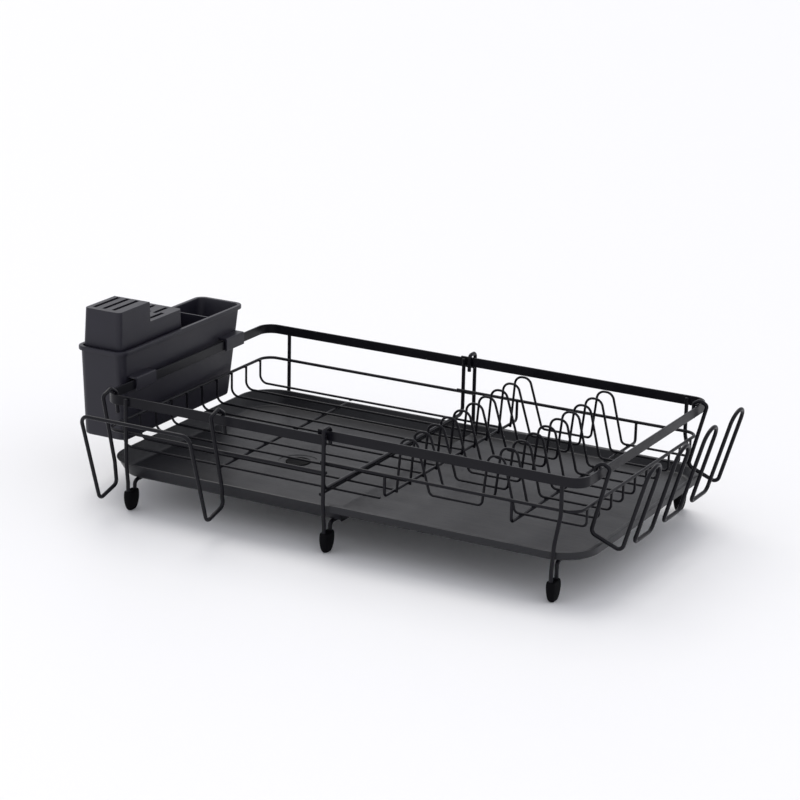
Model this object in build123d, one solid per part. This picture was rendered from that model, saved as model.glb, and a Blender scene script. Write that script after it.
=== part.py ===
from build123d import *
import os

os.makedirs("parts", exist_ok=True)

# Expanding dish drying rack: an outer (left) half, an inner (right) half that slides inside it, a drip
# tray in two nesting parts, and four accessories that hook over the rim bands.
# While it is drawn, X = 0 is the outside of the left end band, Y = 0 the outside of the front band and
# Z = 0 the counter. The finished parts are moved so that the origin is the middle of the whole rack's
# footprint box, on the counter. Millimetres throughout.

# Driving dimensions
rack_width = 310.0
rack_length = 528.0
middle_leg_x = 257.4
left_leg_x = 28.5
right_leg_x = 504.5
right_foot_x = 501.5

leg_wire = 4.0
rail_wire = 3.3
cross_wire = 3.0
thin_wire = 2.5
hook_wire = 4.0

band_height = 10.0
band_thickness = 2.0
band_radius = 16.0
outer_band_top = 120.0
inner_band_top = 123.4
inner_band_inset = 6.1
outer_band_end = 258.5
inner_band_end = 246.0

outer_rail_z = 82.1
inner_rail_z = 87.4
rail_corner = 14.0

floor_wire_count = 10
floor_wire_first_y = 29.0
floor_wire_pitch = 29.05
floor_wire_z = 57.0
floor_wire_end_x = 303.5
floor_bend = 9.0

plate_wire_count = 10
plate_wire_pitch = 27.04
plate_wire_z = 68.6
plate_loop_top = 120.3
plate_loop_radius = 8.5

foot_height = 20.5
foot_wire_gap = 12.0
foot_bottom_wire = 7.0
low_crossbar_z = 28.9
high_crossbar_z = 37.3

tray_sheet = 1.2
tray_draft = 0.4545
left_tray_floor = 31.2
left_tray_rim = 48.0
left_tray_end = 270.0
right_tray_floor = 39.6
right_tray_rim = 49.8
right_tray_start = 262.0
drain_x = 142.0
drain_y = 144.0
drain_radius = 12.0
drain_well_radius = 21.0
drain_well_depth = 0.7

holder_x = -33.0
holder_bottom = 54.0
holder_rim = 150.0
holder_wall = 1.8
knife_x = -34.6
knife_slot = 4.4

# Derived places
middle_y = rack_width / 2
post_y = -leg_wire / 2
outer_rail_inset = rail_wire / 2
inner_post_inset = inner_band_inset + band_thickness + leg_wire / 2
inner_rail_inset = inner_post_inset + leg_wire / 2 + rail_wire / 2
inner_rail_x = rack_length - inner_rail_inset + inner_band_inset
foot_y = foot_wire_gap / 2 + 0.5
plate_wire_first_y = middle_y - plate_wire_pitch * (plate_wire_count - 1) / 2


def wire(points, diameter, radii):
    """A round wire along straight runs joined by tangent bends."""
    path = FilletPolyline(*points, radius=radii) if len(points) > 2 else Line(*points)
    section = Plane(origin=path @ 0, z_dir=path % 0) * Circle(diameter / 2)
    return sweep(section, path)


def across(x, profile):
    """Turn (y, z) pairs into points in the plane at one x."""
    return [(x, y, z) for y, z in profile]


def mirrored(profile):
    """The (y, z) pairs of a front leg, followed by the same pairs at the back."""
    return profile + [(rack_width - y, z) for y, z in reversed(profile)]


def block(low, high):
    """A box between two corners."""
    size = [h - l for l, h in zip(low, high)]
    centre = [(h + l) / 2 for l, h in zip(low, high)]
    return Pos(*centre) * Box(*size)


# ---------------------------------------------------------------- bands and rails


def band(closed_x, open_x, inset, top):
    """A flat steel strip bent round one end of the rack, open towards the other half."""
    reach = 2 * abs(open_x - closed_x)
    depth = rack_width - 2 * inset
    outside = RectangleRounded(reach, depth, band_radius)
    inside = RectangleRounded(
        reach - 2 * band_thickness,
        depth - 2 * band_thickness,
        band_radius - band_thickness,
    )
    ring = Pos(open_x, middle_y, top - band_height) * extrude(outside - inside, band_height)
    past_closed_x = closed_x + (1 if closed_x > open_x else -1)
    low_x, high_x = sorted((past_closed_x, open_x))
    return ring & block((low_x, -1, 0), (high_x, rack_width + 1, top + 1))


def rail(closed_x, open_x, inset, z):
    """The round wire rail that runs round a half below its band."""
    back = rack_width - inset
    points = [
        (open_x, inset, z),
        (closed_x, inset, z),
        (closed_x, back, z),
        (open_x, back, z),
    ]
    return wire(points, rail_wire, rail_corner)


# ---------------------------------------------------------------- wires of the outer half


def floor_wire(y):
    """A floor wire, turned up at the left end and welded to the inside of the rail."""
    upright_x = outer_rail_inset + (rail_wire + thin_wire) / 2
    points = [
        (upright_x, y, outer_rail_z + 1.0),
        (upright_x, y, floor_wire_z),
        (floor_wire_end_x, y, floor_wire_z),
    ]
    return wire(points, thin_wire, floor_bend)


def lower_cross_wire(x, end):
    """A straight cross wire welded under the floor wires, from end to the same distance at the back."""
    z = floor_wire_z - (thin_wire + cross_wire) / 2
    return wire([(x, end, z), (x, rack_width - end, z)], cross_wire, 0)


def foot_profile(crossbar_z):
    """Wire below the tray: into the foot, round its bottom and up to the crossbar."""
    inner_y = 0.5 + foot_wire_gap
    return [(0.5, 30.0), (0.5, foot_bottom_wire), (inner_y, foot_bottom_wire), (inner_y, crossbar_z)]


def left_leg_frame():
    """One bent wire that makes both left legs and the crossbar under the tray."""
    front = [(post_y, outer_band_top - 1.4), (post_y, 50.0)] + foot_profile(low_crossbar_z)
    radii = [30.0, 30.0, 5.5, 5.5, 5.0]
    return wire(across(left_leg_x, mirrored(front)), leg_wire, radii + radii[::-1])


def middle_leg_frame():
    """The middle legs, whose tops hook over both bands and keep the halves together."""
    hook_y = inner_band_inset + band_thickness + leg_wire / 2 + 0.5
    hook_z = inner_band_top + leg_wire / 2 + 0.8
    hook = [(hook_y, inner_band_top - 15.0), (hook_y, hook_z), (post_y, hook_z)]
    front = hook + [(post_y, 50.0)] + foot_profile(low_crossbar_z)
    radii = [4.0, 4.0, 30.0, 30.0, 5.5, 5.5, 5.0]
    return wire(across(middle_leg_x, mirrored(front)), leg_wire, radii + radii[::-1])


# ---------------------------------------------------------------- wires of the inner half


def right_leg_frame():
    """Inner-half legs: inside the band, then splayed out to pass outside the tray."""
    top = [(inner_post_inset, inner_band_top - 1.6), (inner_post_inset, 84.0), (post_y, 58.0)]
    front = across(right_leg_x, top) + [(right_leg_x - 1.0, post_y, 44.0)]
    front += across(right_foot_x, foot_profile(high_crossbar_z))
    back = [(x, rack_width - y, z) for x, y, z in reversed(front)]
    radii = [14.0, 14.0, 20.0, 20.0, 5.5, 5.5, 5.0]
    return wire(front + back, leg_wire, radii + radii[::-1])


def right_end_frame():
    """The hoop at the open end of the inner half, which runs just above the floor wires."""
    z = floor_wire_z + (thin_wire + leg_wire) / 2 + 0.8
    front = [(inner_post_inset, inner_band_top - 1.6), (inner_post_inset, z)]
    return wire(across(250.5, mirrored(front)), leg_wire, 8.0)


def upper_cross_wire(x):
    """A cross wire under the plate wires, turned up at both ends to the rail."""
    z = plate_wire_z - (thin_wire + cross_wire) / 2
    front = [(inner_rail_inset, inner_rail_z - rail_wire / 2), (inner_rail_inset, z)]
    return wire(across(x, mirrored(front)), cross_wire, 4.0)


def plate_wire(y):
    """One wire with two plate loops, turned up at the right end to the rail."""
    profile = [
        (318.83, 64.2),
        (323.15, plate_loop_top),
        (339.2, plate_loop_top),
        (355.2, plate_wire_z),
        (410.9, plate_wire_z),
        (416.6, plate_loop_top),
        (432.9, plate_loop_top),
        (445.8, plate_wire_z),
        (inner_rail_x, plate_wire_z),
        (inner_rail_x, inner_rail_z - rail_wire / 2),
    ]
    loop = plate_loop_radius
    radii = [loop, loop, 5.0, 5.0, loop, loop, 5.0, 5.0]
    return wire([(x, y, z) for x, z in profile], thin_wire, radii)


# ---------------------------------------------------------------- feet


def foot(x, y, frame_wire):
    """A rubber foot pushed over the bend at the bottom of a leg."""
    sizes = [
        (0.0, 8.6, 4.2),
        (0.8, 11.5, 5.8),
        (3.0, 15.0, 7.2),
        (7.0, 18.2, 8.5),
        (13.0, 20.2, 9.4),
        (17.0, 20.2, 9.3),
        (foot_height, 19.0, 8.6),
    ]
    sections = [Pos(x, y, z) * Rot(0, 0, 90) * SlotOverall(long, wide) for z, long, wide in sizes]
    return loft(sections) - frame_wire


# ---------------------------------------------------------------- drip tray


def pan(end_x, half_depth, base_z, low, high, margin, centre_x):
    """A pan-shaped solid with sloping walls, from height low to high, shrunk by margin."""
    sections = []
    for z in (low, high):
        grow = tray_draft * (z - base_z) - margin
        half_x = abs(end_x - centre_x) + grow
        outline = RectangleRounded(2 * half_x, 2 * (half_depth + grow), 30.0 + grow)
        sections.append(Pos(centre_x, middle_y, z) * outline)
    return loft(sections, ruled=True)


def rim_ring(end_x, half_depth, radius, width, low, high, centre_x):
    """A flat rounded ring between two heights, its outside at end_x and half_depth."""
    half_x = abs(end_x - centre_x)
    outside = RectangleRounded(2 * half_x, 2 * half_depth, radius)
    inside = RectangleRounded(2 * (half_x - width), 2 * (half_depth - width), radius - width)
    return Pos(centre_x, middle_y, low) * extrude(outside - inside, high - low)


def tray_shell(end_x, half_depth, floor_z, rim_z, centre_x):
    """A sheet pan with a floor at floor_z and sloping walls up to rim_z."""
    solid = pan(end_x, half_depth, floor_z, floor_z, rim_z, 0, centre_x)
    hollow = pan(end_x, half_depth, floor_z, floor_z + tray_sheet, rim_z + 2, 1.35, centre_x)
    return solid - hollow


def left_tray():
    """The tray part that stays under the outer half, with its drain hole in a shallow well."""
    end_x = 3.0
    half_depth = middle_y - 12.0
    rise = tray_draft * (left_tray_rim - left_tray_floor) + 0.9
    shell = tray_shell(end_x, half_depth, left_tray_floor, left_tray_rim, left_tray_end)
    low = left_tray_rim - 1.1
    bead = rim_ring(end_x - rise, half_depth + rise, 38.5, 1.9, low, left_tray_rim, left_tray_end)
    keep = block((-30, -10, 0), (left_tray_end, rack_width + 10, 60))
    whole_pan = pan(end_x, half_depth, left_tray_floor, left_tray_floor, 38.0, 0, left_tray_end)
    dam = whole_pan & block((left_tray_end - tray_sheet, 0, 0), (left_tray_end, rack_width, 38.0))
    top = left_tray_floor + tray_sheet
    well = Pos(drain_x, drain_y, top) * Cylinder(drain_well_radius, 2 * drain_well_depth)
    hole = Pos(drain_x, drain_y, top) * Cylinder(drain_radius, 20)
    return ((shell + bead) & keep) + dam - well - hole


def right_tray():
    """The tray part under the inner half; its folded rim hangs over the left tray's rim."""
    half_depth = 145.0
    lip_x = 531.2
    lip_half = middle_y - 1.2
    flange_low = right_tray_rim - tray_sheet
    rise = tray_draft * (flange_low - right_tray_floor)
    width = lip_half - half_depth - rise + 0.2
    shell = tray_shell(523.0, half_depth, right_tray_floor, right_tray_rim, right_tray_start)
    flange = rim_ring(lip_x, lip_half, 38.0, width, flange_low, right_tray_rim, right_tray_start)
    lip = rim_ring(lip_x, lip_half, 38.0, tray_sheet, 42.4, right_tray_rim, right_tray_start)
    keep = block((right_tray_start, -10, 0), (rack_length + 30, rack_width + 10, 60))
    return (shell + flange + lip) & keep


def drain_plug():
    """A loose plug whose flange lies on the floor of the well, over the drain hole."""
    well_z = left_tray_floor + tray_sheet - drain_well_depth
    stem = Pos(0, 0, (left_tray_floor + well_z) / 2) * Cylinder(drain_radius - 0.4, well_z - left_tray_floor)
    flange = Pos(0, 0, well_z + 0.5) * Cylinder(drain_radius + 1.2, 1.0)
    return Pos(drain_x, drain_y, 0) * (stem + flange)


# ---------------------------------------------------------------- utensil holder


def holder_form(low, high, margin):
    """The box form of the utensil holder between two heights, shrunk by margin.
    Its sides are nearly upright, its front leans in a little and its back end slopes most."""
    sections = []
    for z in (low, high):
        t = (z - holder_bottom) / (holder_rim - holder_bottom)
        width = 53.0 + t - 2 * margin
        front = 46.5 - 5.5 * t + margin
        back = 248.0 + 21.0 * t - margin
        outline = RectangleRounded(width, back - front, 9.0 - margin)
        sections.append(Pos(holder_x, (front + back) / 2, z) * outline)
    return loft(sections, ruled=True)


def utensil_holder():
    """A plastic box that hangs outside the left end on two tabs hooked over the band."""
    shell = holder_form(holder_bottom, holder_rim, 0)
    hollow = holder_form(holder_bottom + 2.0, holder_rim + 2, holder_wall)
    lip_out = RectangleRounded(59.0, 233.0, 11.0)
    lip_in = RectangleRounded(51.0, 225.0, 7.5)
    lip = Pos(holder_x, middle_y, holder_rim - 2.6) * extrude(lip_out - lip_in, 2.6)
    skirt_in = RectangleRounded(56.0, 230.0, 9.5)
    skirt = Pos(holder_x, middle_y, holder_rim - 4.4) * extrude(lip_out - skirt_in, 2.0)
    box = shell - hollow + lip + skirt - hollow
    for front in (53.0, rack_width - 53.0 - 35.0):
        arm = block((-9.4, front, outer_band_top + 0.5), (4.6, front + 35.0, outer_band_top + 2.9))
        grip = block((2.5, front, outer_band_top - 11.0), (4.6, front + 35.0, outer_band_top + 2.9))
        tab = fillet((arm + grip).edges().filter_by(Axis.Y).sort_by(Axis.Z)[-1:], 1.6)
        box = box + tab
    for y in (168, 184, 200, 224, 238):
        for x in (holder_x - 9, holder_x + 9):
            box = box - Pos(x, y, holder_bottom) * Cylinder(2.5, 10)
    return box - hollow


def divider():
    """A loose wall across the utensil holder."""
    form = holder_form(holder_bottom + 2.0, holder_rim - 4.0, holder_wall + 0.4)
    slab = block((-100, 214.0, 0), (100, 215.8, 200))
    return form & slab


def knife_form(margin, low, high, step_top):
    """The knife block's outer form shrunk by margin: tapered, with a step down at the back."""
    front, back, step_y = 46.0, 162.0, 102.0
    middle = (front + back) / 2
    length = back - front - 2 * margin
    foot_outline = Pos(knife_x, middle, low) * RectangleRounded(35.0 - 2 * margin, length - 10, 5.0)
    rim_outline = Pos(knife_x, middle, holder_rim) * RectangleRounded(46.0 - 2 * margin, length, 5.0)
    top_outline = Pos(knife_x, middle, high) * RectangleRounded(44.0 - 2 * margin, length - 4, 5.0)
    lower = loft([foot_outline, rim_outline], ruled=True)
    upper = loft([rim_outline, top_outline], ruled=True)
    return lower + upper - block((-100, step_y - margin, step_top), (100, 200, 250))


def knife_block():
    """A hollow insert with knife slots: a tall front step and a low rear step."""
    low_top, high_top = 168.0, 189.0
    floor = holder_bottom + 2.0
    shell = knife_form(0, floor, high_top, low_top)
    shell = fillet(shell.edges().filter_by(Plane.XY).group_by(Axis.Z)[-1], 0.8)
    body = shell - knife_form(1.8, floor - 1, high_top - 2.2, low_top - 2.2)
    tall = [(x, 54.5, 98.5, high_top) for x in (-48.6, -36.9, -25.2)]
    short = [(-44.2, 133.5, 156.5), (-36.0, 112.0, 137.0), (-28.0, 132.5, 156.5), (-20.0, 112.0, 137.0)]
    low = [(x, start, end, low_top) for x, start, end in short]
    for x, start, end, top in tall + low:
        half = knife_slot / 2
        body = body - block((x - half, start, top - 6), (x + half, end, top + 4))
    return body


# ---------------------------------------------------------------- wire accessories


def board_holder():
    """One bent wire that hangs from the front band and holds boards and lids upright."""
    lean = 4.5
    hook = [(7.4, 99.0), (5.6, 121.3), (-3.0, 127.0), (-17.0, 122.5)]
    side = hook + [(-1.6, 50.0), (0.0, 27.0), (-30.0, 19.0), (-56.0, 113.0)]
    left = [(11.5 + lean * (1 - z / 122), y, z) for y, z in side]
    right = [(x + 127.0, y, z) for x, y, z in reversed(left)]
    radii = [3.0, 4.0, 4.0, 20.0, 6.0, 6.0, 9.0]
    return wire(left + right, hook_wire, radii + radii[::-1])


def cup_holder():
    """One bent wire with four tall pegs, hooked over the right end band."""
    front, back, pegs, peg_width = 49.0, 280.0, 4, 28.0
    base_x, base_z, tip_x, tip_z = 550.0, 45.0, 575.0, 130.0
    link = (back - front - pegs * peg_width) / (pegs - 1)
    hook = [(520.2, 108.0), (520.4, 123.4), (527.0, 127.5), (534.8, 123.4), (517.8, 58.0)]
    points = [(x, front, z) for x, z in hook]
    radii = [3.0, 4.0, 3.5, 6.0]
    for peg in range(pegs):
        start = front + peg * (peg_width + link)
        end = start + peg_width
        points += [(base_x, start, base_z), (tip_x, start, tip_z)]
        points += [(tip_x, end, tip_z), (base_x, end, base_z)]
        radii += [6.0, 13.5, 13.5, 6.0]
    points += [(x, back, z) for x, z in reversed(hook)]
    radii += [6.0, 3.5, 4.0, 3.0]
    return wire(points, hook_wire, radii)


# ---------------------------------------------------------------- assembly

parts = {
    "left_band": band(0, outer_band_end, 0, outer_band_top),
    "left_rail": rail(outer_rail_inset, 259.0, outer_rail_inset, outer_rail_z),
    "left_leg_frame": left_leg_frame(),
    "middle_leg_frame": middle_leg_frame(),
    "left_cross_wire": lower_cross_wire(119.0, 26.5),
    "left_end_cross_wire": lower_cross_wire(245.0, 13.0),
    "right_band": band(rack_length, inner_band_end, inner_band_inset, inner_band_top),
    "right_rail": rail(inner_rail_x, 245.0, inner_rail_inset, inner_rail_z),
    "right_leg_frame": right_leg_frame(),
    "right_end_frame": right_end_frame(),
    "right_cross_wire": upper_cross_wire(316.2),
    "right_end_cross_wire": upper_cross_wire(452.0),
    "left_drip_tray": left_tray(),
    "right_drip_tray": right_tray(),
    "drain_plug": drain_plug(),
    "utensil_holder": utensil_holder(),
    "utensil_divider": divider(),
    "knife_block": knife_block(),
    "board_holder": board_holder(),
    "cup_holder": cup_holder(),
}
for number in range(floor_wire_count):
    y = floor_wire_first_y + number * floor_wire_pitch
    parts[f"floor_wire_{number + 1:02d}"] = floor_wire(y)
for number in range(plate_wire_count):
    y = plate_wire_first_y + number * plate_wire_pitch
    parts[f"plate_wire_{number + 1:02d}"] = plate_wire(y)
for side, x in (("left", left_leg_x), ("middle", middle_leg_x), ("right", right_foot_x)):
    frame_wire = parts[f"{side}_leg_frame"]
    parts[f"front_{side}_foot"] = foot(x, foot_y, frame_wire)
    parts[f"back_{side}_foot"] = foot(x, rack_width - foot_y, frame_wire)

whole = Compound(list(parts.values())).bounding_box()
centre = whole.center()
to_origin = Pos(-centre.X, -centre.Y, -whole.min.Z)
print("moved by", -centre.X, -centre.Y, -whole.min.Z)
print("size", whole.size)
for name, solid in parts.items():
    export_step(to_origin * solid, f"parts/{name}.step")
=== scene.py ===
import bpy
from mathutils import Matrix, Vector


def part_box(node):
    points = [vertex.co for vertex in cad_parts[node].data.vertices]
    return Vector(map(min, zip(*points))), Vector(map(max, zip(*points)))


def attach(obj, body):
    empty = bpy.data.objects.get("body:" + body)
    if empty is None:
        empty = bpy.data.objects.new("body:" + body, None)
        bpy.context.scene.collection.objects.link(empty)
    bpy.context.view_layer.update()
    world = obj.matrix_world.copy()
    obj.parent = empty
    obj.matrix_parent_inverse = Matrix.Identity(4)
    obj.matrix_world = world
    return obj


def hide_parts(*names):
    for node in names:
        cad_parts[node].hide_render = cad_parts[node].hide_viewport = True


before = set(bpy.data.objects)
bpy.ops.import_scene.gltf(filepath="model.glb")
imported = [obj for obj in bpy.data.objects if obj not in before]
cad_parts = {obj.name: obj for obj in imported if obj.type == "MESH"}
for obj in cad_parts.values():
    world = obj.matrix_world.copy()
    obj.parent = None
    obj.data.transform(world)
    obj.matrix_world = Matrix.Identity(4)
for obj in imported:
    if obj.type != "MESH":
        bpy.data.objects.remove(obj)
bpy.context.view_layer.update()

import math

import bmesh
import bpy
from mathutils import Matrix, Vector

# Positions are in millimetres from the outside corner of the rack: X = 0 is the outside of the left band,
# Y = 0 the outside of the front band, Z = 0 the counter. The left band's CAD box says where that is.
band_low, band_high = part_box("left_band")
corner = Vector((band_low.x, band_low.y, 0.0))
rack_width = (band_high.y - band_low.y) * 1000
middle_y = rack_width / 2
outer_band_top = band_high.z * 1000
inner_band_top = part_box("right_band")[1].z * 1000

leg_wire, rail_wire, cross_wire, thin_wire = 4.0, 3.3, 3.0, 2.5
left_leg_x, middle_leg_x, right_leg_x, right_foot_x = 28.5, 257.4, 504.5, 501.5
left_cross_x, left_end_cross_x = 119.0, 245.0
right_cross_x, right_end_cross_x, right_hoop_x = 316.2, 452.0, 250.5
inner_rail_x, inner_rail_y = 520.35, 13.75
post_y, inner_post_y, foot_inner_y, foot_y = -2.0, 10.1, 12.5, 6.5
floor_wire_z, plate_wire_z, plate_loop_top = 57.0, 68.6, 120.3
floor_wire_end_x = 303.5
drain_radius = 12.0


def place(point):
    """A point in drawing millimetres as a point in the frame, in metres."""
    return corner + Vector(point) / 1000


# ---------------------------------------------------------------- materials


def coating(name, base, tint, rough, grain, depth, mottle, stretch=(1, 1, 1), coat=0.0, spread=0.1, shine=0.3):
    """A procedural finish: slow colour drift, uneven gloss and a fine bump of the given grain size in mm."""
    mat = bpy.data.materials.new(name)
    mat.use_nodes = True
    nodes, links = mat.node_tree.nodes, mat.node_tree.links
    shader = nodes["Principled BSDF"]
    coords = nodes.new("ShaderNodeTexCoord")
    stretched = nodes.new("ShaderNodeMapping")
    stretched.inputs["Scale"].default_value = stretch
    links.new(coords.outputs["Object"], stretched.inputs["Vector"])

    def noise(scale, detail, source):
        n = nodes.new("ShaderNodeTexNoise")
        n.inputs["Scale"].default_value = scale
        n.inputs["Detail"].default_value = detail
        links.new(source.outputs[0 if source is stretched else "Object"], n.inputs["Vector"])
        return n

    def remap(source, low, high):
        m = nodes.new("ShaderNodeMapRange")
        m.inputs["From Min"].default_value = 0.25
        m.inputs["From Max"].default_value = 0.75
        m.inputs["To Min"].default_value = low
        m.inputs["To Max"].default_value = high
        links.new(source.outputs["Fac"], m.inputs["Value"])
        return m

    drift = noise(mottle, 4.0, coords)
    speck = noise(1400.0 / grain, 2.0, stretched)
    ramp = nodes.new("ShaderNodeMix")
    ramp.data_type = "RGBA"
    ramp.inputs["A"].default_value = (*base, 1)
    ramp.inputs["B"].default_value = (*tint, 1)
    both = nodes.new("ShaderNodeMath")
    both.operation = "ADD"
    links.new(remap(drift, 0.0, 0.6).outputs[0], both.inputs[0])
    links.new(remap(speck, 0.0, 0.4).outputs[0], both.inputs[1])
    links.new(both.outputs[0], ramp.inputs["Factor"])
    links.new(ramp.outputs["Result"], shader.inputs["Base Color"])

    gloss = nodes.new("ShaderNodeMath")
    gloss.operation = "ADD"
    links.new(remap(drift, rough - spread / 2, rough + spread / 2).outputs[0], gloss.inputs[0])
    links.new(remap(speck, -spread / 3, spread / 3).outputs[0], gloss.inputs[1])
    links.new(gloss.outputs[0], shader.inputs["Roughness"])

    bump = nodes.new("ShaderNodeBump")
    bump.inputs["Strength"].default_value = 0.6
    bump.inputs["Distance"].default_value = depth / 1000
    links.new(speck.outputs["Fac"], bump.inputs["Height"])
    links.new(bump.outputs["Normal"], shader.inputs["Normal"])
    shader.inputs["Specular IOR Level"].default_value = shine
    shader.inputs["Coat Weight"].default_value = coat
    shader.inputs["Coat Roughness"].default_value = 0.28
    return mat


powder_tones = (0.004, 0.0039, 0.0062), (0.007, 0.0067, 0.0098)
powder = coating("powder_coat", *powder_tones, 0.34, 0.9, 0.035, 45.0, coat=0.04, shine=0.16)
brushed = (0.06, 1.0, 1.0)
tray_paint = coating(
    "tray_coat", (0.0075, 0.0077, 0.0102), (0.0125, 0.0128, 0.0162), 0.42, 1.6, 0.03, 22.0, brushed, 0.05, 0.14
)
plastic = coating(
    "holder_plastic", (0.0105, 0.0098, 0.0165), (0.0165, 0.0155, 0.025), 0.44, 0.55, 0.03, 30.0, shine=0.36
)
rubber = coating("foot_rubber", (0.003, 0.003, 0.0036), (0.005, 0.005, 0.006), 0.6, 0.8, 0.04, 60.0, shine=0.04)
materials = {
    "powder_coat": powder,
    "tray_coat": tray_paint,
    "holder_plastic": plastic,
    "foot_rubber": rubber,
}


# ---------------------------------------------------------------- mesh tools


def finish_piece(name, mesh_verts, faces, body, slot, nodes, sharp=38.0):
    """Make the object from drawing-frame points, with material, ride and the CAD nodes it replaces."""
    mesh = bpy.data.meshes.new(name)
    mesh.from_pydata([place(v) for v in mesh_verts], [], faces)
    bm = bmesh.new()
    bm.from_mesh(mesh)
    bmesh.ops.recalc_face_normals(bm, faces=bm.faces)
    bm.to_mesh(mesh)
    bm.free()
    mesh.polygons.foreach_set("use_smooth", [True] * len(mesh.polygons))
    mesh.set_sharp_from_angle(angle=math.radians(sharp))
    mesh.materials.append(materials[slot])
    obj = bpy.data.objects.new(name, mesh)
    bpy.context.scene.collection.objects.link(obj)
    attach(obj, body)
    if nodes:
        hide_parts(*nodes)
    return obj


def weigh(obj):
    """Let large flat faces rule the shading of the small fillets beside them."""
    obj.modifiers.new("weighted", "WEIGHTED_NORMAL").keep_sharp = True
    return obj


def rounded(points, radii, step=7.0):
    """The points of a path whose corners are replaced by arcs of the given radii."""
    pts = [Vector(p) for p in points]
    out = [pts[0]]
    for i in range(1, len(pts) - 1):
        a, b, c = pts[i - 1], pts[i], pts[i + 1]
        into, away = (b - a).normalized(), (c - b).normalized()
        turn = into.angle(away)
        r = radii[i - 1] if isinstance(radii, (list, tuple)) else radii
        cut = r * math.tan(turn / 2)
        start = b - into * cut
        side = (away - into * into.dot(away)).normalized()
        count = max(2, math.ceil(math.degrees(turn) / step))
        for k in range(count + 1):
            t = turn * k / count
            out.append(start + into * (r * math.sin(t)) + side * (r * (1 - math.cos(t))))
    out.append(pts[-1])
    return out


def carried_frames(path):
    """A side and an up vector at each point of a path, carried along it without twisting."""
    tangents = []
    for i in range(len(path)):
        before = path[i] - path[i - 1] if i else path[1] - path[0]
        after = path[i + 1] - path[i] if i + 1 < len(path) else before
        tangents.append((before.normalized() + after.normalized()).normalized())
    up = Vector((0, 0, 1)) if abs(tangents[0].z) < 0.9 else Vector((1, 0, 0))
    side = tangents[0].cross(up).normalized()
    frames = []
    for t in tangents:
        side = (side - t * side.dot(t)).normalized()
        frames.append((side, t.cross(side).normalized(), t))
    return frames


def tube_mesh(points, diameter, radii, sides=18):
    """Vertices and faces of a round wire with softly rounded cut ends."""
    path = rounded(points, radii) if len(points) > 2 else [Vector(p) for p in points]
    frames = carried_frames(path)
    r = diameter / 2
    rings = [(p, f, r) for p, f in zip(path, frames)]
    nose = [(0.0, 0.55), (0.08, 0.82), (0.3, 1.0)]
    first, last = rings[0], rings[-1]
    start = [(first[0] + first[1][2] * (r * back), first[1], r * size) for back, size in nose]
    end = [(last[0] - last[1][2] * (r * back), last[1], r * size) for back, size in reversed(nose)]
    rings = start + rings[1:-1] + end
    verts, faces = [], []
    for p, (side, up, _), radius in rings:
        for k in range(sides):
            a = 2 * math.pi * k / sides
            verts.append(p + side * (radius * math.cos(a)) + up * (radius * math.sin(a)))
    for i in range(len(rings) - 1):
        for k in range(sides):
            n = (k + 1) % sides
            faces.append((i * sides + k, i * sides + n, (i + 1) * sides + n, (i + 1) * sides + k))
    faces.append(tuple(range(sides)))
    faces.append(tuple((len(rings) - 1) * sides + k for k in range(sides)))
    return verts, faces


def tube(node, points, diameter, radii, body):
    """A wire that replaces its CAD node."""
    verts, faces = tube_mesh(points, diameter, radii)
    return finish_piece("wire_" + node, verts, faces, body, "powder_coat", [node])


def strip(node, points, corner_radius, low, high, thickness, body):
    """A flat steel strip on edge, bent round its corners, with eased edges."""
    path = rounded([(x, y, 0) for x, y in points], corner_radius, 4.0)
    ease = 0.45
    half = thickness / 2
    section = []
    for sx, sz, first in ((1, 1, 0), (-1, 1, 90), (-1, -1, 180), (1, -1, 270)):
        for k in range(4):
            a = math.radians(first + 30 * k)
            z_mid = high - ease if sz > 0 else low + ease
            section.append((sx * (half - ease) + ease * math.cos(a), z_mid + ease * math.sin(a)))
    n = len(section)
    verts, faces = [], []
    frames = carried_frames(path)
    for p, (_, _, t) in zip(path, frames):
        side = Vector((t.y, -t.x, 0))
        for a, z in section:
            verts.append(Vector((p.x + side.x * a, p.y + side.y * a, z)))
    for i in range(len(path) - 1):
        for k in range(n):
            m = (k + 1) % n
            faces.append((i * n + k, i * n + m, (i + 1) * n + m, (i + 1) * n + k))
    faces.append(tuple(range(n)))
    faces.append(tuple((len(path) - 1) * n + k for k in range(n)))
    return weigh(finish_piece("strip_" + node, verts, faces, body, "powder_coat", [node]))


def rectangle_ring(cx, cy, width, depth, radius, z, steps=8):
    """A closed ring of points on a rounded rectangle."""
    ring = []
    for sx, sy, first in ((1, 1, 0), (-1, 1, 90), (-1, -1, 180), (1, -1, 270)):
        for k in range(steps + 1):
            a = math.radians(first + 90 * k / steps)
            x = cx + sx * (width / 2 - radius) + radius * math.cos(a)
            y = cy + sy * (depth / 2 - radius) + radius * math.sin(a)
            ring.append(Vector((x, y, z)))
    return ring


def stacked(rings):
    """Vertices and faces of closed rings joined one to the next and capped at both ends."""
    n = len(rings[0])
    verts = [v for ring in rings for v in ring]
    faces = []
    for i in range(len(rings) - 1):
        for k in range(n):
            m = (k + 1) % n
            faces.append((i * n + k, i * n + m, (i + 1) * n + m, (i + 1) * n + k))
    faces.append(tuple(range(n)))
    faces.append(tuple((len(rings) - 1) * n + k for k in range(n)))
    return verts, faces


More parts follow.
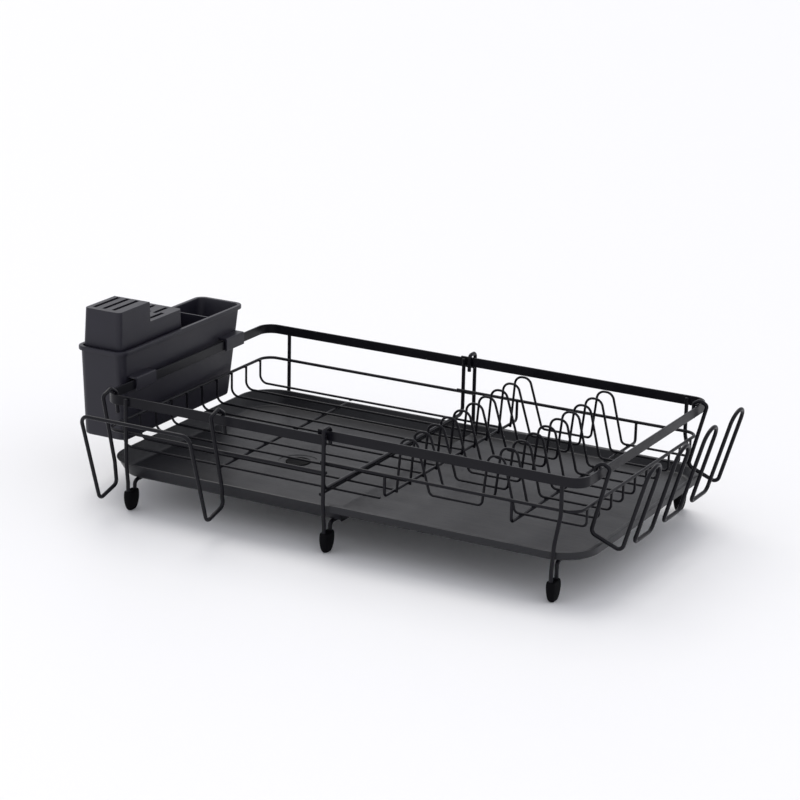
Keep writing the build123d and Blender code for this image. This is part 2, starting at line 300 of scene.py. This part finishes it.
def blob(centre, size):
    """Vertices and faces of one small weld bead."""
    rows, cols = 5, 8
    verts = [Vector(centre) + Vector((0, 0, -size[2]))]
    for i in range(1, rows):
        tilt = math.pi * i / rows
        for k in range(cols):
            a = 2 * math.pi * k / cols
            ring = Vector((size[0] * math.cos(a), size[1] * math.sin(a), 0)) * math.sin(tilt)
            verts.append(Vector(centre) + ring + Vector((0, 0, -size[2] * math.cos(tilt))))
    verts.append(Vector(centre) + Vector((0, 0, size[2])))
    faces = []
    for k in range(cols):
        m = (k + 1) % cols
        faces.append((0, 1 + m, 1 + k))
        for i in range(rows - 2):
            low, high = 1 + i * cols, 1 + (i + 1) * cols
            faces.append((low + k, low + m, high + m, high + k))
        top = 1 + (rows - 2) * cols
        faces.append((top + k, top + m, len(verts) - 1))
    return verts, faces


def merged(parts):
    """Several (vertices, faces) pairs as one."""
    verts, faces = [], []
    for v, f in parts:
        base = len(verts)
        verts.extend(v)
        faces.extend(tuple(i + base for i in face) for face in f)
    return verts, faces


def mirrored(profile):
    """The (y, z) pairs of a front leg, followed by the same pairs at the back."""
    return profile + [(rack_width - y, z) for y, z in reversed(profile)]


def across(x, profile):
    """The (y, z) pairs of a profile as points in the plane at one x."""
    return [(x, y, z) for y, z in profile]


# ---------------------------------------------------------------- bands and rails

strip(
    "left_band",
    [(258.5, 1), (1, 1), (1, rack_width - 1), (258.5, rack_width - 1)],
    15.0,
    outer_band_top - 10,
    outer_band_top,
    2.0,
    "outer_frame",
)
strip(
    "right_band",
    [(246, 7.1), (527, 7.1), (527, rack_width - 7.1), (246, rack_width - 7.1)],
    15.0,
    inner_band_top - 10,
    inner_band_top,
    2.0,
    "inner_frame",
)


def rail(node, closed_x, open_x, inset, z, body):
    """The round wire below a band, open towards the other half."""
    back = rack_width - inset
    points = [(open_x, inset, z), (closed_x, inset, z), (closed_x, back, z), (open_x, back, z)]
    tube(node, points, rail_wire, 14.0, body)


rail("left_rail", 1.65, 259.0, 1.65, 82.1, "outer_frame")
rail("right_rail", inner_rail_x, 245.0, inner_rail_y, 87.4, "inner_frame")

# ---------------------------------------------------------------- outer half

foot_low = [(0.5, 30.0), (0.5, 7.0), (foot_inner_y, 7.0)]
left_front = [(post_y, outer_band_top - 1.4), (post_y, 50.0)] + foot_low + [(foot_inner_y, 28.9)]
bends = [30.0, 30.0, 5.5, 5.5, 5.0]
left_points = across(left_leg_x, mirrored(left_front))
tube("left_leg_frame", left_points, leg_wire, bends + bends[::-1], "outer_frame")

hook_z = inner_band_top + 2.8
hook = [(10.6, inner_band_top - 15.0), (10.6, hook_z), (post_y, hook_z)]
middle_front = hook + [(post_y, 50.0)] + foot_low + [(foot_inner_y, 28.9)]
bends = [4.0, 4.0, 30.0, 30.0, 5.5, 5.5, 5.0]
middle_points = across(middle_leg_x, mirrored(middle_front))
tube("middle_leg_frame", middle_points, leg_wire, bends + bends[::-1], "outer_frame")

for node, x, end in (("left_cross_wire", left_cross_x, 26.5), ("left_end_cross_wire", left_end_cross_x, 13.0)):
    tube(node, [(x, end, 54.25), (x, rack_width - end, 54.25)], cross_wire, 0, "outer_frame")

floor_wire_ys = [29.0 + 29.05 * k for k in range(10)]
for k, y in enumerate(floor_wire_ys):
    points = [(4.55, y, 83.1), (4.55, y, floor_wire_z), (floor_wire_end_x, y, floor_wire_z)]
    tube(f"floor_wire_{k + 1:02d}", points, thin_wire, 9.0, "outer_frame")

# ---------------------------------------------------------------- inner half

right_top = [(inner_post_y, inner_band_top - 1.6), (inner_post_y, 84.0), (post_y, 58.0)]
front = across(right_leg_x, right_top) + [(right_leg_x - 1.0, post_y, 44.0)]
front += across(right_foot_x, foot_low + [(foot_inner_y, 37.3)])
back = [(x, rack_width - y, z) for x, y, z in reversed(front)]
bends = [14.0, 14.0, 20.0, 20.0, 5.5, 5.5, 5.0]
tube("right_leg_frame", front + back, leg_wire, bends + bends[::-1], "inner_frame")

end_front = [(inner_post_y, inner_band_top - 1.6), (inner_post_y, 61.05)]
tube("right_end_frame", across(right_hoop_x, mirrored(end_front)), leg_wire, 8.0, "inner_frame")

for node, x in (("right_cross_wire", right_cross_x), ("right_end_cross_wire", right_end_cross_x)):
    ends = [(inner_rail_y, 85.75), (inner_rail_y, 65.85)]
    tube(node, across(x, mirrored(ends)), cross_wire, 4.0, "inner_frame")

plate_profile = [
    (318.83, 64.2),
    (323.15, plate_loop_top),
    (339.2, plate_loop_top),
    (355.2, plate_wire_z),
    (410.9, plate_wire_z),
    (416.6, plate_loop_top),
    (432.9, plate_loop_top),
    (445.8, plate_wire_z),
    (inner_rail_x, plate_wire_z),
    (inner_rail_x, 85.75),
]
plate_wire_ys = [middle_y + 27.04 * (k - 4.5) for k in range(10)]
for k, y in enumerate(plate_wire_ys):
    points = [(x, y, z) for x, z in plate_profile]
    tube(f"plate_wire_{k + 1:02d}", points, thin_wire, [8.5, 8.5, 5.0, 5.0] * 2, "inner_frame")

# ---------------------------------------------------------------- weld beads

outer_beads, inner_beads = [], []
for y in floor_wire_ys:
    outer_beads.append(blob((3.3, y, 81.6), (0.8, 1.7, 1.5)))
    for x in (left_cross_x, left_end_cross_x):
        outer_beads.append(blob((x, y, 55.7), (1.9, 1.7, 0.75)))
for y in plate_wire_ys:
    inner_beads.append(blob((317.8, y, 65.9), (0.7, 1.7, 1.7)))
    inner_beads.append(blob((right_end_cross_x, y, 67.3), (1.9, 1.7, 0.75)))
    inner_beads.append(blob((inner_rail_x, y, 85.7), (1.5, 1.6, 0.8)))
for sign in (1, -1):

    def flip(y):
        """The same place at the front or at the back."""
        return y if sign > 0 else rack_width - y

    for x in (left_leg_x, middle_leg_x):
        outer_beads.append(blob((x, flip(0.0), 82.1), (2.4, 0.9, 1.5)))
        for side in (-1.5, 1.5):
            outer_beads.append(blob((x + side, flip(-0.5), 114.6), (0.9, 0.7, 3.4)))
    for x in (right_hoop_x, right_leg_x):
        inner_beads.append(blob((x, flip(12.1), 87.4), (2.4, 0.9, 1.5)))
        for side in (-1.5, 1.5):
            inner_beads.append(blob((x + side, flip(8.7), 117.6), (0.9, 0.7, 3.4)))
    for x in (right_cross_x, right_end_cross_x):
        inner_beads.append(blob((x, flip(inner_rail_y), 85.7), (1.8, 1.5, 0.9)))
finish_piece("welds_outer", *merged(outer_beads), "outer_frame", "powder_coat", [], 80.0)
finish_piece("welds_inner", *merged(inner_beads), "inner_frame", "powder_coat", [], 80.0)

# ---------------------------------------------------------------- feet


def slot_ring(x, y, z, long, wide, count=32):
    """A closed ring round an oval with straight sides, long across the rack."""
    ring = []
    run = (long - wide) / 2
    for k in range(count):
        a = 2 * math.pi * (k + 0.5) / count
        away = math.copysign(run, math.sin(a)) + wide / 2 * math.sin(a)
        ring.append(Vector((x + wide / 2 * math.cos(a), y + away, z)))
    return ring


foot_sizes = [
    (0.0, 8.2, 3.8),
    (0.15, 9.3, 4.6),
    (0.5, 10.7, 5.4),
    (0.8, 11.5, 5.8),
    (1.7, 13.2, 6.5),
    (3.0, 14.9, 7.15),
    (5.0, 16.6, 7.9),
    (7.0, 18.0, 8.45),
    (10.0, 19.3, 9.0),
    (13.0, 20.1, 9.3),
    (15.5, 20.2, 9.3),
    (17.5, 20.0, 9.15),
    (19.0, 19.5, 8.85),
    (20.0, 18.7, 8.2),
    (20.5, 17.2, 6.8),
    (20.4, 15.8, 5.5),
    (19.7, 15.5, 5.2),
]
feet = [("left", left_leg_x, "outer_frame"), ("middle", middle_leg_x, "outer_frame")]
feet.append(("right", right_foot_x, "inner_frame"))
for side, x, body in feet:
    for row, y in (("front", foot_y), ("back", rack_width - foot_y)):
        rings = [slot_ring(x, y, z, long, wide) for z, long, wide in foot_sizes]
        node = f"{row}_{side}_foot"
        finish_piece("rubber_" + node, *stacked(rings), body, "foot_rubber", [node], 50.0)

# ---------------------------------------------------------------- drip trays


def open_outline(end_x, open_x, half, radius, z, toward):
    """Points along a U-shaped tray outline, from the open end round the closed end and back.
    toward is 1 when the closed end is on the right."""
    pts = []
    cx = end_x - toward * radius
    front, back = middle_y - half, middle_y + half
    steps = 14
    run = [open_x + (cx - open_x) * k / 24 for k in range(24)]
    pts += [Vector((x, middle_y - half, z)) for x in run]
    for k in range(steps + 1):
        a = math.radians(90 * k / steps)
        pts.append(Vector((cx + toward * radius * math.sin(a), front + radius - radius * math.cos(a), z)))
    low, high = middle_y - half + radius, middle_y + half - radius
    pts += [Vector((end_x, low + (high - low) * k / 24, z)) for k in range(1, 24)]
    for k in range(steps + 1):
        a = math.radians(90 * k / steps)
        pts.append(Vector((cx + toward * radius * math.cos(a), back - radius + radius * math.sin(a), z)))
    pts += [Vector((x, middle_y + half, z)) for x in reversed(run)]
    return pts


def tray_rings(end_x, open_x, half, radius, profile, toward):
    """One outline per (outward, z) pair of the profile."""
    return [
        open_outline(end_x + toward * out, open_x, half + out, radius + out, z, toward) for out, z in profile
    ]


def open_stack(rings):
    """Faces between open outlines, and the number of points in each; the cut edges at the open end get no faces
    here.
    """
    n = len(rings[0])
    verts = [v for ring in rings for v in ring]
    faces = []
    for i in range(len(rings) - 1):
        for k in range(n - 1):
            faces.append((i * n + k, i * n + k + 1, (i + 1) * n + k + 1, (i + 1) * n + k))
    return verts, faces, n


def wall_slope(z, base):
    """How far a tray wall has leaned outwards at height z."""
    return 0.4545 * (z - base)


# Left tray: profile from the inside of the floor up over the rim bead and down the outside.
floor, sheet, rim = 31.2, 1.2, 48.0
left_tray_end = 270.0
profile = []
for k in range(5):
    a = math.radians(66 * k / 4)
    profile.append((-5.2 + 5.0 * math.sin(a), floor + sheet + 5.0 * (1 - math.cos(a))))
profile += [(wall_slope(44.0, floor) - 1.35, 44.0), (wall_slope(47.2, floor) - 1.3, 47.2)]
top_out = wall_slope(rim, floor)
profile += [(top_out - 1.0, 47.9), (top_out - 0.4, 48.0), (top_out + 0.4, 48.0), (top_out + 0.85, 47.7)]
profile += [(top_out + 0.9, 47.3), (top_out + 0.6, 46.95), (top_out - 0.3, 46.9)]
profile += [(wall_slope(44.0, floor), 44.0)]
for k in range(5):
    a = math.radians(66 * (4 - k) / 4)
    profile.append((-5.4 + 6.2 * math.sin(a), floor + 6.2 * (1 - math.cos(a))))
rings = tray_rings(3.0, left_tray_end, middle_y - 12.0, 30.0, profile, -1)
verts, faces, n = open_stack(rings)
last = len(rings) - 1
faces.append(tuple(i * n for i in range(len(rings))))
faces.append(tuple(i * n + n - 1 for i in range(len(rings))))


def radial_floor(outline, start, centre, circles):
    """Rings from a closed outline in to circles round a centre, sharing the outline's angles."""
    new_verts, new_faces = [], []
    count = len(outline)
    previous = list(range(start, start + count))
    base = len(verts)
    for radius, z in circles:
        ring = []
        for p in outline:
            away = Vector((p.x - centre[0], p.y - centre[1], 0)).normalized()
            ring.append(base + len(new_verts))
            new_verts.append(Vector((centre[0] + away.x * radius, centre[1] + away.y * radius, z)))
        for k in range(count):
            m = (k + 1) % count
            new_faces.append((previous[k], previous[m], ring[m], ring[k]))
        previous = ring
    return new_verts, new_faces, previous


drain = (142.0, 144.0)
top = floor + sheet
circles = [(21.6, top), (21.0, top - 0.12), (20.7, top - 0.6), (20.2, top - 0.7)]
circles += [(12.6, top - 0.7), (12.1, top - 0.8), (drain_radius, top - 1.0)]
under = [(12.4, floor), (drain_radius, floor + 0.1)]
new_verts, new_faces, hole_top = radial_floor(rings[0], 0, drain, circles)
verts += new_verts
faces += new_faces
new_verts, new_faces, hole_under = radial_floor(rings[last], last * n, drain, under)
verts += new_verts
faces += new_faces
for k in range(len(hole_top)):
    m = (k + 1) % len(hole_top)
    faces.append((hole_top[k], hole_top[m], hole_under[m], hole_under[k]))
weigh(finish_piece("tray_left", verts, faces, "left_tray", "tray_coat", ["left_drip_tray"], 44.0))

# The loose drain plug: a flange with a rounded edge and a dished top over a short stem.
well_z = top - 0.7
plug = [(11.0, floor), (11.4, floor + 0.1), (11.6, floor + 0.3), (11.6, well_z)]
plug += [(12.9, well_z), (13.2, well_z + 0.25), (13.2, well_z + 0.7), (12.9, well_z + 0.95)]
plug += [(12.4, well_z + 1.0), (11.2, well_z + 0.9), (10.2, well_z + 0.5), (6.0, well_z + 0.4)]
plug.append((1.0, well_z + 0.4))
rings = []
angles = [2 * math.pi * k / 48 for k in range(48)]
for radius, z in plug:
    outward = [(radius * math.cos(a), radius * math.sin(a)) for a in angles]
    rings.append([Vector((drain[0] + x, drain[1] + y, z)) for x, y in outward])
weigh(finish_piece("rubber_drain_plug", *stacked(rings), "drain_stopper", "foot_rubber", ["drain_plug"], 50.0))

# The low wall across the left tray's right end, with a rounded top.
dam_rings = []
for dx, z in ((-1.2, 32.0), (-1.2, 37.3), (-1.0, 37.8), (-0.6, 38.0), (-0.2, 37.8), (0.0, 37.3), (0.0, 31.3)):
    half = middle_y - 12.0 + wall_slope(z, floor) - 1.0
    dam_rings.append([Vector((left_tray_end + dx, y, z)) for y in (middle_y - half, middle_y + half)])
dam_verts = [v for ring in dam_rings for v in ring]
dam_faces = [(2 * i, 2 * i + 1, 2 * i + 3, 2 * i + 2) for i in range(len(dam_rings) - 1)]
dam_faces.append((0, 1, 2 * len(dam_rings) - 1, 2 * len(dam_rings) - 2))
dam_faces.append(tuple(2 * i for i in range(len(dam_rings))))
dam_faces.append(tuple(2 * i + 1 for i in range(len(dam_rings))))
weigh(finish_piece("tray_left_dam", dam_verts, dam_faces, "left_tray", "tray_coat", [], 44.0))

# Right tray: the rim turns over the left tray's rim and ends in a folded lip.
floor, rim = 39.6, 49.8
profile = []
for k in range(5):
    a = math.radians(66 * k / 4)
    profile.append((-3.3 + 3.0 * math.sin(a), floor + sheet + 3.0 * (1 - math.cos(a))))
rise = wall_slope(rim, floor)
profile += [(rise - 2.0, 48.6), (rise - 1.3, 49.5), (rise - 0.6, 49.8), (7.4, 49.8), (8.0, 49.65)]
profile += [(8.2, 49.1), (8.2, 43.0), (8.0, 42.5), (7.5, 42.4), (7.0, 42.6), (7.0, 48.2), (6.6, 48.6)]
profile.append((rise - 0.4, 48.6))
profile += [(wall_slope(46.0, floor), 46.0)]
for k in range(5):
    a = math.radians(66 * (4 - k) / 4)
    profile.append((-3.5 + 4.2 * math.sin(a), floor + 4.2 * (1 - math.cos(a))))
fits = []
for out, z in profile:
    side = 8.8 / 8.2 if out > 6 else 1.0
    fits.append((out, out * side, z))
rings = []
for out_x, out_y, z in fits:
    radius = 30.0 + out_x
    rings.append(open_outline(523.0 + out_x, 262.0, 145.0 + out_y, radius, z, 1))
verts, faces, n = open_stack(rings)
last = len(rings) - 1
faces.append(tuple(i * n for i in range(len(rings))))
faces.append(tuple(i * n + n - 1 for i in range(len(rings))))
faces.append(tuple(range(n)))
faces.append(tuple(last * n + k for k in range(n)))
faces.append((0, n - 1, last * n + n - 1, last * n))
weigh(finish_piece("tray_right", verts, faces, "right_tray", "tray_coat", ["right_drip_tray"], 44.0))

# ---------------------------------------------------------------- utensil box

box_x = -33.0


def wall_ring(z, margin, lift=0.0):
    """A ring of the box at one height, shrunk by margin; the back end slopes most."""
    t = (z - 54.0) / 96.0
    front, back = 46.5 - 5.5 * t + margin, 248.0 + 21.0 * t - margin
    radius = max(9.0 - margin, 2.0)
    return rectangle_ring(box_x, (front + back) / 2, 53.0 + t - 2 * margin, back - front, radius, z + lift)


rings = []
for k in range(4):
    a = math.radians(90 * k / 3)
    rings.append(wall_ring(54.0, 2.2 * (1 - math.sin(a)), 2.2 * (1 - math.cos(a))))
rings += [wall_ring(z, 0) for z in (60.0, 90.0, 120.0, 146.9)]
# Width, depth, corner radius and height of each ring up and over the turned lip.
lip = [(55.6, 229.6, 9.4, 147.3), (56.0, 230.0, 9.5, 146.6), (56.2, 230.2, 9.6, 145.9)]
lip += [(57.0, 231.0, 10.0, 145.6), (58.4, 232.4, 10.7, 145.7), (59.0, 233.0, 11.0, 146.3)]
lip += [(59.0, 233.0, 11.0, 148.9), (58.7, 232.7, 10.85, 149.6), (57.9, 231.9, 10.4, 150.0)]
lip += [(51.8, 225.8, 7.9, 150.0), (50.9, 224.9, 7.5, 149.8), (50.4, 224.4, 7.25, 149.2)]
rings += [rectangle_ring(box_x, middle_y, *row) for row in lip]
rings += [wall_ring(z, 1.8) for z in (146.0, 120.0, 90.0, 62.0)]
for k in range(4):
    a = math.radians(90 * k / 3)
    rings.append(wall_ring(56.0, 1.8 + 3.0 * (1 - math.cos(a)), 3.0 * (1 - math.sin(a))))
box_obj = finish_piece("box_shell", *stacked(rings), "utensil_box", "holder_plastic", ["utensil_holder"], 44.0)

holes = []
for y in (168, 184, 200, 224, 238):
    for x in (box_x - 9, box_x + 9):
        turns = [k * math.pi / 8 for k in range(16)]
        ring = [Vector((x + 2.5 * math.cos(a), y + 2.5 * math.sin(a), 0)) for a in turns]
        holes.append(stacked([[p + Vector((0, 0, 50)) for p in ring], [p + Vector((0, 0, 59)) for p in ring]]))
drill = finish_piece("drill", *merged(holes), "utensil_box", "holder_plastic", [])
cut = box_obj.modifiers.new("drain_holes", "BOOLEAN")
cut.object = drill
cut.operation = "DIFFERENCE"
cut.solver = "EXACT"
bpy.context.view_layer.update()
bored = bpy.data.meshes.new_from_object(box_obj.evaluated_get(bpy.context.evaluated_depsgraph_get()))
box_obj.modifiers.clear()
box_obj.data = bored
bpy.data.objects.remove(drill)
weigh(box_obj)

tabs = []
for front in (53.0, rack_width - 88.0):
    outline = [(-9.4, 120.6), (1.9, 120.6), (2.5, 120.0), (2.5, 109.6), (3.0, 109.0), (4.0, 109.0)]
    outline += [(4.6, 109.6), (4.6, 121.3), (4.3, 122.2), (3.8, 122.7), (3.0, 122.9), (-9.4, 122.9)]
    rings = []
    for y, shrink in ((0.0, 0.45), (0.12, 0.12), (0.45, 0.0), (34.55, 0.0), (34.88, 0.12), (35.0, 0.45)):
        ring = []
        for x, z in outline:
            inner = Vector((3.55 if x > 1.9 else -2.0, 0, 116.0 if z < 120.5 else 121.75))
            p = Vector((x, 0, z))
            pull = inner - p
            if x < -9:
                pull.x = 0
            size = pull.length or 1.0
            ring.append(p + pull / size * min(shrink, size) + Vector((0, front + y, 0)))
        rings.append(ring)
    tabs.append(stacked(rings))
weigh(finish_piece("box_tabs", *merged(tabs), "utensil_box", "holder_plastic", [], 44.0))

for node in ("utensil_divider", "knife_block"):
    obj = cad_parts[node]
    obj.data.materials.clear()
    obj.data.materials.append(plastic)
    obj.data.polygons.foreach_set("use_smooth", [True] * len(obj.data.polygons))
    obj.data.set_sharp_from_angle(angle=math.radians(40))

# ---------------------------------------------------------------- wire accessories

side_profile = [(7.4, 99.0), (5.6, 121.3), (-3.0, 127.0), (-17.0, 122.5)]
side_profile += [(-1.6, 50.0), (0.0, 27.0), (-30.0, 19.0), (-56.0, 113.0)]
left = [(11.5 + 4.5 * (1 - z / 122), y, z) for y, z in side_profile]
right = [(x + 127.0, y, z) for x, y, z in reversed(left)]
bends = [3.0, 4.0, 4.0, 20.0, 6.0, 6.0, 9.0]
tube("board_holder", left + right, leg_wire, bends + bends[::-1], "board_hanger")

cup_front, cup_back, peg_width = 49.0, 280.0, 28.0
link = (cup_back - cup_front - 4 * peg_width) / 3
hook = [(520.2, 108.0), (520.4, 123.4), (527.0, 127.5), (534.8, 123.4), (517.8, 58.0)]
points = [(x, cup_front, z) for x, z in hook]
bends = [3.0, 4.0, 3.5, 6.0]
for peg in range(4):
    start = cup_front + peg * (peg_width + link)
    end = start + peg_width
    points += [(550.0, start, 45.0), (575.0, start, 130.0), (575.0, end, 130.0), (550.0, end, 45.0)]
    bends += [6.0, 13.5, 13.5, 6.0]
points += [(x, cup_back, z) for x, z in reversed(hook)]
bends += [6.0, 3.5, 4.0, 3.0]
tube("cup_holder", points, leg_wire, bends, "cup_hanger")

# ---------------------------------------------------------------- floor, light and camera

ground = bpy.data.materials.new("counter")
ground.use_nodes = True
ground_nodes, ground_links = ground.node_tree.nodes, ground.node_tree.links
ground_shader = ground_nodes["Principled BSDF"]
ground_noise = ground_nodes.new("ShaderNodeTexNoise")
ground_noise.inputs["Scale"].default_value = 3.0
ground_tone = ground_nodes.new("ShaderNodeMix")
ground_tone.data_type = "RGBA"
ground_tone.inputs["A"].default_value = (0.86, 0.86, 0.87, 1)
ground_tone.inputs["B"].default_value = (0.89, 0.89, 0.895, 1)
ground_links.new(ground_noise.outputs["Fac"], ground_tone.inputs["Factor"])
ground_links.new(ground_tone.outputs["Result"], ground_shader.inputs["Base Color"])
ground_shader.inputs["Roughness"].default_value = 0.55
plane = bpy.data.meshes.new("counter")
reach = 30.0
corners = [(-reach, -reach), (reach, -reach), (reach, reach), (-reach, reach)]
plane.from_pydata([(x, y, -0.0003) for x, y in corners], [], [(0, 1, 2, 3)])
plane.materials.append(ground)
counter = bpy.data.objects.new("counter", plane)
bpy.context.scene.collection.objects.link(counter)

world = bpy.data.worlds.new("studio")
bpy.context.scene.world = world
world.use_nodes = True
world.node_tree.nodes["Background"].inputs["Color"].default_value = (0.945, 0.952, 1.0, 1)
world.node_tree.nodes["Background"].inputs["Strength"].default_value = 0.87

sun_data = bpy.data.lights.new("window_light", "SUN")
sun_data.energy = 1.15
sun_data.angle = math.radians(40)
sun_data.color = (1.0, 0.975, 0.93)
sun = bpy.data.objects.new("window_light", sun_data)
bpy.context.scene.collection.objects.link(sun)
sun.rotation_mode = "QUATERNION"
sun.rotation_quaternion = Vector((0.55, -0.45, -1.0)).to_track_quat("-Z", "Y")

forward = Vector((-0.45708, 0.83797, -0.29814)).normalized()
flat_right = forward.cross(Vector((0, 0, 1))).normalized()
flat_up = flat_right.cross(forward)
roll = math.radians(1.281)
right_axis = flat_right * math.cos(roll) + flat_up * math.sin(roll)
up_axis = flat_up * math.cos(roll) - flat_right * math.sin(roll)
camera_data = bpy.data.cameras.new("camera")
camera_data.lens = 119.38
camera_data.sensor_width = 36.0
camera_data.clip_start, camera_data.clip_end = 0.05, 100.0
camera = bpy.data.objects.new("camera", camera_data)
bpy.context.scene.collection.objects.link(camera)
camera.rotation_mode = "QUATERNION"
basis = Matrix((right_axis, up_axis, -forward)).transposed()
camera.rotation_quaternion = basis.to_quaternion()
camera.location = place((1475.16, -2083.90, 911.17))
bpy.context.scene.camera = camera
bpy.context.scene.view_settings.view_transform = "Standard"
